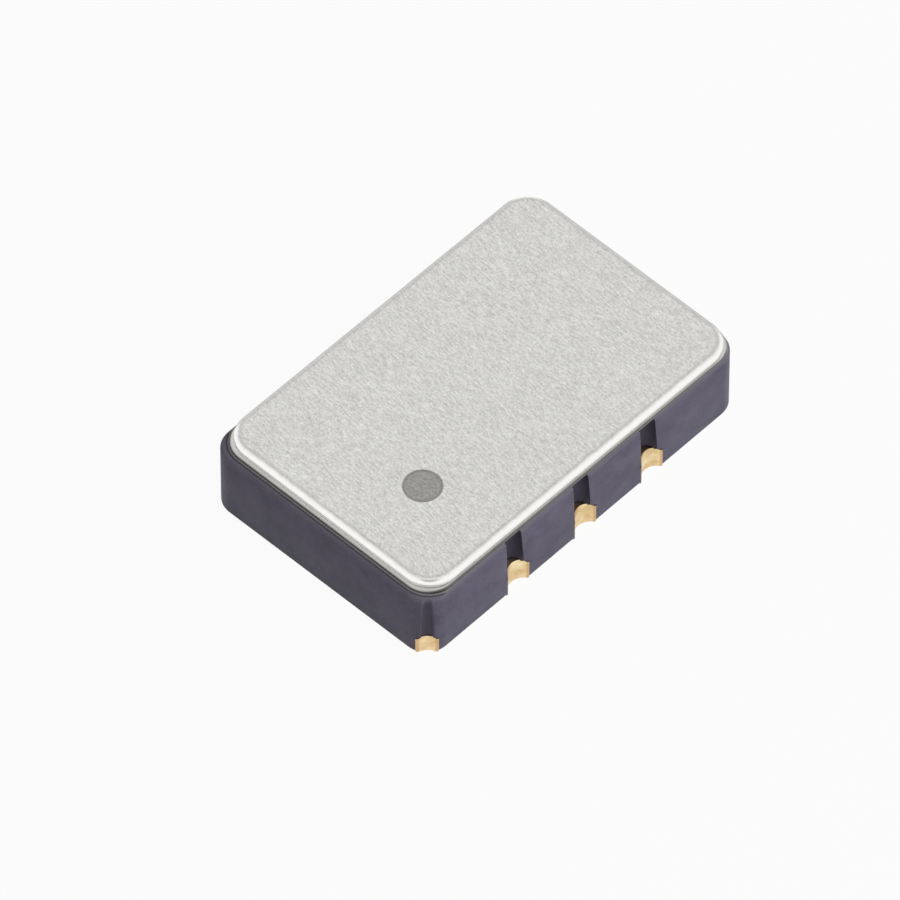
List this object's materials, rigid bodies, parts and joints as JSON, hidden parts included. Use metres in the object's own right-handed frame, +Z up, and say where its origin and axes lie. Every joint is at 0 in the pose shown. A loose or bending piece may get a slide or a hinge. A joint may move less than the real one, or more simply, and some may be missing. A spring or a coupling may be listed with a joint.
{
  "type": "real-time clock module",
  "caption": "Leadless ceramic surface-mount clock module with a brushed metal lid, gold edge castellations and solder soles, and a chip with a tuning-fork crystal inside.",
  "frame": {"origin": "middle of the plane of the solder soles, where the module rests on its board", "axes": "+X along the long side, +Y along the short side, +Z up through the lid; terminal 1 and the index corner are at -X, -Y"},
  "size_m": [0.0038, 0.0024, 0.0008],
  "materials": {
    "dark_ceramic": "matte",
    "seal_metal": "satin",
    "nickel_lid": "satin",
    "gold_plating": "satin",
    "gold_wire": "polished",
    "silicon": "polished",
    "silver_adhesive": "matte",
    "quartz": "gloss"
  },
  "bodies": {
    "root": {"bond_finger_1": "gold_plating", "bond_finger_10": "gold_plating", "bond_finger_2": "gold_plating", "bond_finger_3": "gold_plating", "bond_finger_4": "gold_plating", "bond_finger_5": "gold_plating", "bond_finger_6": "gold_plating", "bond_finger_7": "gold_plating", "bond_finger_8": "gold_plating", "bond_finger_9": "gold_plating", "bond_wire_1": "gold_wire", "bond_wire_10": "gold_wire", "bond_wire_2": "gold_wire", "bond_wire_3": "gold_wire", "bond_wire_4": "gold_wire", "bond_wire_5": "gold_wire", "bond_wire_6": "gold_wire", "bond_wire_7": "gold_wire", "bond_wire_8": "gold_wire", "bond_wire_9": "gold_wire", "ceramic_base": "dark_ceramic", "chip_bond_layer": "silver_adhesive", "clock_chip": "silicon", "crystal_adhesive_1": "silver_adhesive", "crystal_adhesive_2": "silver_adhesive", "crystal_pad_1": "gold_plating", "crystal_pad_2": "gold_plating", "lid": "nickel_lid", "quartz_fork": "quartz", "seal_ring": "seal_metal", "terminal_1": "gold_plating", "terminal_10": "gold_plating", "terminal_2": "gold_plating", "terminal_3": "gold_plating", "terminal_4": "gold_plating", "terminal_5": "gold_plating", "terminal_6": "gold_plating", "terminal_7": "gold_plating", "terminal_8": "gold_plating", "terminal_9": "gold_plating"}
  },
  "joints": []
}
